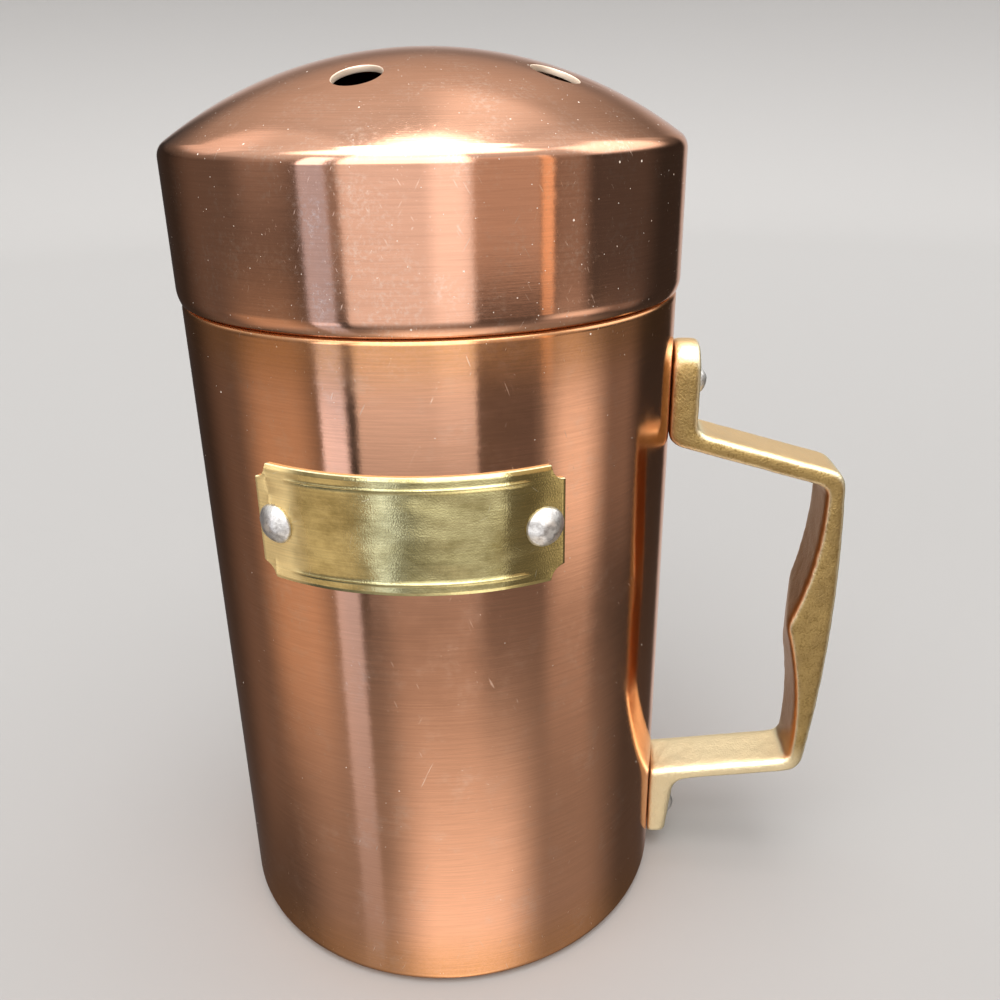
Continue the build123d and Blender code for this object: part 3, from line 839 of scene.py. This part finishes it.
# Peened aluminium: bright and soft-edged, with grey in the hammer marks
def peenedAluminium(name, look):
    material, tree, shader = newMaterial(name)
    coords = addNode(tree, "ShaderNodeTexCoord").outputs["Object"]
    blotch = addNode(
        tree, "ShaderNodeTexNoise",
        {"Scale": 1 / (look["blotchSize"] * mm), "Detail": 4.0, "Roughness": 0.65}, {"Vector": coords},
    ).outputs[0]
    dirty = addNode(
        tree, "ShaderNodeMapRange",
        {"From Min": look["dirtSpan"][0], "From Max": look["dirtSpan"][1]}, {"Value": blotch},
    ).outputs[0]
    colour = addNode(
        tree, "ShaderNodeMix",
        {"data_type": "RGBA", 6: linearColour(look["colour"]), 7: linearColour(look["dirtColour"])},
        {0: dirty},
    ).outputs[2]
    wire(tree, colour, shader, "Base Color")
    shader.inputs["Metallic"].default_value = 1.0
    rough = addNode(
        tree, "ShaderNodeMapRange",
        {"To Min": look["roughness"][0], "To Max": look["roughness"][1]}, {"Value": blotch},
    ).outputs[0]
    wire(tree, rough, shader, "Roughness")
    dented = addNode(
        tree, "ShaderNodeBump", {"Strength": 1.0, "Distance": look["dentDepth"] * mm}, {"Height": blotch}
    ).outputs[0]
    wire(tree, dented, shader, "Normal")
    return material


# Rivets: wide foot inside the can, shank, and a head hammered to a few flats outside
rivets = {
    "plateHead": {"head": 5.8, "height": 1.5, "shank": 2.4, "foot": 5.0},
    "handleHead": {"head": 4.4, "height": 1.4, "shank": 3.2, "foot": 7.0},
    "footHeight": 0.9,
    "footSink": 0.12,
    "steps": 40,
    "rings": 9,
    "seed": 7,
    "flats": 7,
    "flatReach": 0.94,
    "firstFlat": 0.35,
    "nextFlat": 0.1,
    "flatSpread": 0.9,
    "rimLevel": 0.05,
    "seatLevel": -0.01,
    "lugTaper": 0.094,
    "taperReach": 1.5,
    "look": {
        "colour": "#e2e0dc", "dirtColour": "#a4a09c", "dirtSpan": (0.45, 0.7), "roughness": (0.32, 0.55),
        "blotchSize": 0.9, "dentDepth": 0.07,
    },
}


def makeRivet(spec, size, name, node, outward, seat, lean, material):
    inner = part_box("can_body")[1].x - canBody["sheet"] * mm - spec["footSink"] * mm
    footTop = inner - seat.dot(outward)
    head, height, shank, foot = (size[key] * mm for key in ("head", "height", "shank", "foot"))
    # section in the local frame: x is the radius, z runs outwards from the head's seat
    bm = bmesh.new()
    bottom = footTop - spec["footHeight"] * mm
    edge = bm.verts.new((0, 0, bottom))
    section = (
        (foot / 2, bottom), (foot / 2, footTop), (shank / 2, footTop), (shank / 2, 0), (head / 2, 0),
    )
    for x, z in section:
        edge = runTo(bm, edge, (x, 0, z))
    # the head is part of a ball that passes through its rim and crown
    ball = ((head / 2) ** 2 + height ** 2) / (2 * height)
    centre = Vector((0, 0, height - ball))
    sweep = math.degrees(math.asin(min(1.0, head / 2 / ball)))
    arcFrom(bm, edge, centre, sectionAxis, sweep, spec["rings"])
    lathe(bm, spec["steps"])
    # each blow flattens the ball a little deeper than the one before
    for number in range(spec["flats"]):
        spread = noise.random_unit_vector()
        hit = Vector((spec["flatSpread"] * spread.x, spec["flatSpread"] * spread.y, 1.0)).normalized()
        depth = (1 - spec["flatReach"]) * (spec["firstFlat"] + spec["nextFlat"] * number)
        for vert in bm.verts:
            over = (vert.co - centre) @ hit - ball * (1 - depth)
            if vert.co.z > spec["rimLevel"] * mm and over > 0:
                vert.co -= over * hit
    for vert in bm.verts:
        if vert.co.z > spec["seatLevel"] * mm:
            vert.co.z += lean * vert.co.y
    spin = outward.to_track_quat("Z", "Y").to_matrix().to_4x4()
    bmesh.ops.transform(bm, matrix=Matrix.Translation(seat) @ spin, verts=bm.verts)
    finishPiece(bm, name, "can", material, [node])


def makeRivets(spec):
    material = peenedAluminium("peenedAluminium", spec["look"])
    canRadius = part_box("can_body")[1].x
    plateFace = canRadius + (nameplate["seatGap"] * 2 + nameplate["sheet"]) * mm
    noise.seed_set(spec["seed"])
    for side in ("left", "right"):
        low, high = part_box(f"nameplate_rivet_{side}")
        middle = (low + high) / 2
        outward = Vector((middle.x, middle.y, 0)).normalized()
        seat = outward * plateFace + Vector((0, 0, middle.z))
        makeRivet(
            spec, spec["plateHead"], f"plateRivet_{side}", f"nameplate_rivet_{side}",
            outward, seat, 0, material,
        )
    # the lower lug thins towards its tip, and its rivet's head leans with it
    outward = Vector((1, 0, 0))
    for end, lean in (("upper", 0), ("lower", spec["lugTaper"])):
        low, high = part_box(f"handle_rivet_{end}")
        crown = (spec["handleHead"]["height"] + spec["taperReach"] * lean) * mm
        seat = Vector((high.x - crown, 0, (low.z + high.z) / 2))
        makeRivet(
            spec, spec["handleHead"], f"handleRivet_{end}", f"handle_rivet_{end}",
            outward, seat, lean, material,
        )


makeHandle(castHandle)
makeNameplate(nameplate)
makeRivets(rivets)
print("handle, plate and rivets done")


# Stage: a pale floor that curves up all round, kept out of the copper's reflections; sizes in metres
stage = {
    "floor": 0.9,
    "sweep": 0.35,
    "sweepSteps": 16,
    "wall": 1.4,
    "steps": 96,
    "colour": "#989694",
    "roughness": 0.85,
}


def makeStage(spec):
    material, tree, shader = newMaterial("matteFloor")
    shader.inputs["Base Color"].default_value = linearColour(spec["colour"])
    shader.inputs["Roughness"].default_value = spec["roughness"]
    # seen from below the floor is clear, so that the base can be looked at
    behind = addNode(tree, "ShaderNodeNewGeometry").outputs["Backfacing"]
    clear = addNode(tree, "ShaderNodeBsdfTransparent").outputs[0]
    oneSided = addNode(
        tree, "ShaderNodeMixShader", links={0: behind, 1: shader.outputs[0], 2: clear}
    ).outputs[0]
    wire(tree, oneSided, tree.nodes["Material Output"], "Surface")

    bm = bmesh.new()
    rim = runTo(bm, bm.verts.new((0, 0, 0)), (spec["floor"], 0, 0))
    top = arcFrom(bm, rim, (spec["floor"], 0, spec["sweep"]), sectionAxis, 90, spec["sweepSteps"])
    runTo(bm, top, (top.co.x, 0, spec["wall"]))
    lathe(bm, spec["steps"])
    floor = addMesh(bm, "floor", material)
    facesUp = any(face.normal.z > 0.9 for face in floor.data.polygons)
    if not facesUp:
        floor.data.flip_normals()
    floor.visible_glossy = False
    floor.visible_shadow = False


# Studio: a tent of soft light with panels, at the directions that the photograph's reflections point to.
# The sky is a list of elevations and powers. Each panel gives where its azimuth and its elevation start
# and end, how soft these edges are, its colour and its power. Angles are in degrees, azimuths from the front.
studio = {
    "sky": [
        (-90, 0.28), (-50, 0.12), (-20, 0.05), (8, 0.04), (22, 0.25),
        (40, 0.56), (55, 0.66), (68, 0.85), (72, 5.5),
    ],
    "panels": [
        ((165, 240), (22, 60), (8, 6), "#ffffff", 0.2),
        ((-195, -140), (22, 60), (8, 6), "#ffffff", 0.2),
        ((-76, 100), (-91, -31), (18, 8), "#fff0e4", 0.24),
        ((155, 184), (48, 80), (8, 4), "#ffffff", 0.5),
        ((-205, -176), (48, 80), (8, 4), "#ffffff", 0.5),
        ((-75, -47), (-5, 25), (8, 4), "#ffeadc", 0.2),
        ((-34.5, -28), (-11, 35), (1, 3), "#ffeadc", 0.3),
        ((25, 54), (-30, -10), (2, 3), "#ffeadc", 0.1),
        ((-20, 24), (-38, -25), (8, 5), "#ffeadc", 0.22),
        ((58, 84), (-36, -25), (6, 4), "#ffeadc", 0.22),
        ((-139, -100), (22, 46), (0.5, 5), "#fff4f8", 0.36),
        ((86, 112), (-25, -12), (8, 4), "#ffeadc", 0.22),
        ((76, 118), (-12, 25), (10, 5), "#ffeadc", 0.06),
        ((-28.5, 25), (-22, 35), (1.5, 10), "#faf8fa", 1.1),
        ((8, 23), (-14, 35), (4, 8), "#f6f8ff", 0.45),
        ((-46, -34), (-39, 30), (1.2, 17), "#d8e4ff", 0.85),
        ((-46, -33), (-24, -16), (1.2, 2), "#f0f0ff", 0.7),
        ((-46, -34), (2, 34), (1.2, 3), "#f8f8ff", 2.2),
        ((-28.5, 25), (5, 50), (1.5, 4), "#ffffff", 2.0),
        ((-17, 46), (-91, -39), (15, 7), "#fff6ee", 0.88),
        ((-36, 30), (-91, -46), (14, 3), "#fff6ee", 0.3),
        ((-86, -50), (-34, -12), (12, 6), "#ffdcb4", 0.46),
        ((-116, -48), (-40, 22), (14, 4), "#ffeadc", 0.12),
        ((54.5, 60), (-12, 25), (0.8, 4), "#ffd2a8", 1.15),
        ((60, 86), (-26, -14), (10, 4), "#fff4ea", 1.2),
        ((25, 54), (-10, 25), (1, 2), "#ffe6d4", 0.6),
        ((60, 76), (-13, 25), (5, 2), "#ffe6d4", 0.3),
        ((80, 134), (16, 50), (8, 5), "#ffffff", 1.5),
        ((-139, 150), (24, 80), (0.5, 5), "#ffffff", 0.36),
        ((-70, 70), (46, 74), (10, 6), "#ffffff", 3.0),
        ((155, 190), (-40, 15), (4, 8), "#ffffff", 0.6),
        ((-190, -155), (-40, 15), (4, 8), "#ffffff", 0.6),
    ],
}


def makeStudio(spec):
    world = bpy.data.worlds.new("studio")
    bpy.context.scene.world = world
    world.use_nodes = True
    tree = world.node_tree
    ray = addNode(tree, "ShaderNodeTexCoord").outputs["Generated"]
    axes = addNode(tree, "ShaderNodeSeparateXYZ", links={0: ray}).outputs
    front = addNode(tree, "ShaderNodeMath", {"operation": "MULTIPLY", 1: -1.0}, {0: axes["Y"]}).outputs[0]
    azimuth = addNode(tree, "ShaderNodeMath", {"operation": "ARCTAN2"}, {0: axes["X"], 1: front}).outputs[0]
    elevation = addNode(tree, "ShaderNodeMath", {"operation": "ARCSINE"}, {0: axes["Z"]}).outputs[0]

    share = addNode(
        tree, "ShaderNodeMapRange", {"From Min": -math.pi / 2, "From Max": math.pi / 2}, {"Value": elevation}
    ).outputs[0]
    ramp = addNode(tree, "ShaderNodeValToRGB", links={0: share})
    stops = ramp.color_ramp.elements
    while len(stops) < len(spec["sky"]):
        stops.new(0.5)
    for stop, (degrees, power) in zip(stops, spec["sky"]):
        stop.position = (degrees + 90) / 180
        stop.color = (power, power, power, 1)
    total = ramp.outputs[0]

    for azimuths, elevations, softness, colour, power in spec["panels"]:
        mask = None
        for angle, (start, end), soft in zip((azimuth, elevation), (azimuths, elevations), softness):
            for edge, before, after in ((start, 0, 1), (end, 1, 0)):
                step = addNode(
                    tree, "ShaderNodeMapRange",
                    {
                        "interpolation_type": "SMOOTHSTEP", "To Min": before, "To Max": after,
                        "From Min": math.radians(edge - soft), "From Max": math.radians(edge + soft),
                    },
                    {"Value": angle},
                ).outputs[0]
                if mask is not None:
                    step = addNode(
                        tree, "ShaderNodeMath", {"operation": "MULTIPLY"}, {0: mask, 1: step}
                    ).outputs[0]
                mask = step
        light = [power * part for part in linearColour(colour)[:3]]
        total = addNode(
            tree, "ShaderNodeVectorMath", {"operation": "MULTIPLY_ADD", 1: light}, {0: mask, 2: total}
        ).outputs[0]
    wire(tree, total, tree.nodes["Background"], "Color")


# Camera at the photograph's place: metres, degrees and the lens for a 36 mm wide frame
camera = {
    "place": (0.02010, -0.15067, 0.13380),
    "turn": (67.32, 0.83, 3.42),
    "lens": 34.17,
    "sensor": 36.0,
    "nearest": 0.01,
}


def makeCamera(spec):
    data = bpy.data.cameras.new("camera")
    data.lens = spec["lens"]
    data.sensor_width = spec["sensor"]
    data.clip_start = spec["nearest"]
    eye = bpy.data.objects.new("camera", data)
    eye.location = spec["place"]
    eye.rotation_euler = [math.radians(angle) for angle in spec["turn"]]
    bpy.context.scene.collection.objects.link(eye)
    bpy.context.scene.camera = eye
    bpy.context.scene.view_settings.view_transform = "Standard"


makeStage(stage)
makeStudio(studio)
makeCamera(camera)
print("stage, studio and camera done")
